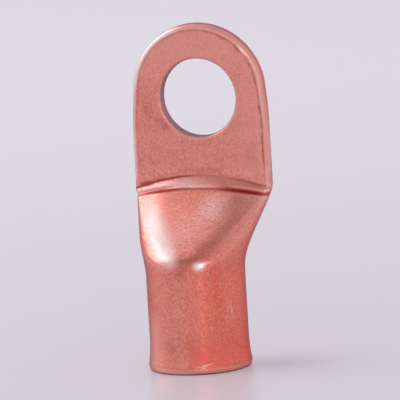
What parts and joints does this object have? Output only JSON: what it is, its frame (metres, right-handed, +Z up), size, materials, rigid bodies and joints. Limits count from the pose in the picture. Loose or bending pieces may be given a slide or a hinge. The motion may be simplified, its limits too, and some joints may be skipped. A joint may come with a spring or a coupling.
{
  "type": "copper cable lug",
  "caption": "One-piece tubular crimp lug: an open barrel with a belled mouth below, pressed flat above an arched crease into a round-ended palm with a stud hole.",
  "frame": {"origin": "centre of the barrel's mouth, in the plane of its rim", "axes": "+Z up the barrel to the palm's sheared end, +Y out of the palm's flat contact face, -Y out of its pressed face, +X across the palm"},
  "size_m": [0.0238, 0.0172, 0.0562],
  "materials": {
    "copper": "satin drawn and pressed copper, lightly stained and scuffed"
  },
  "bodies": {
    "root": {"cable_lug": "copper"}
  },
  "joints": []
}
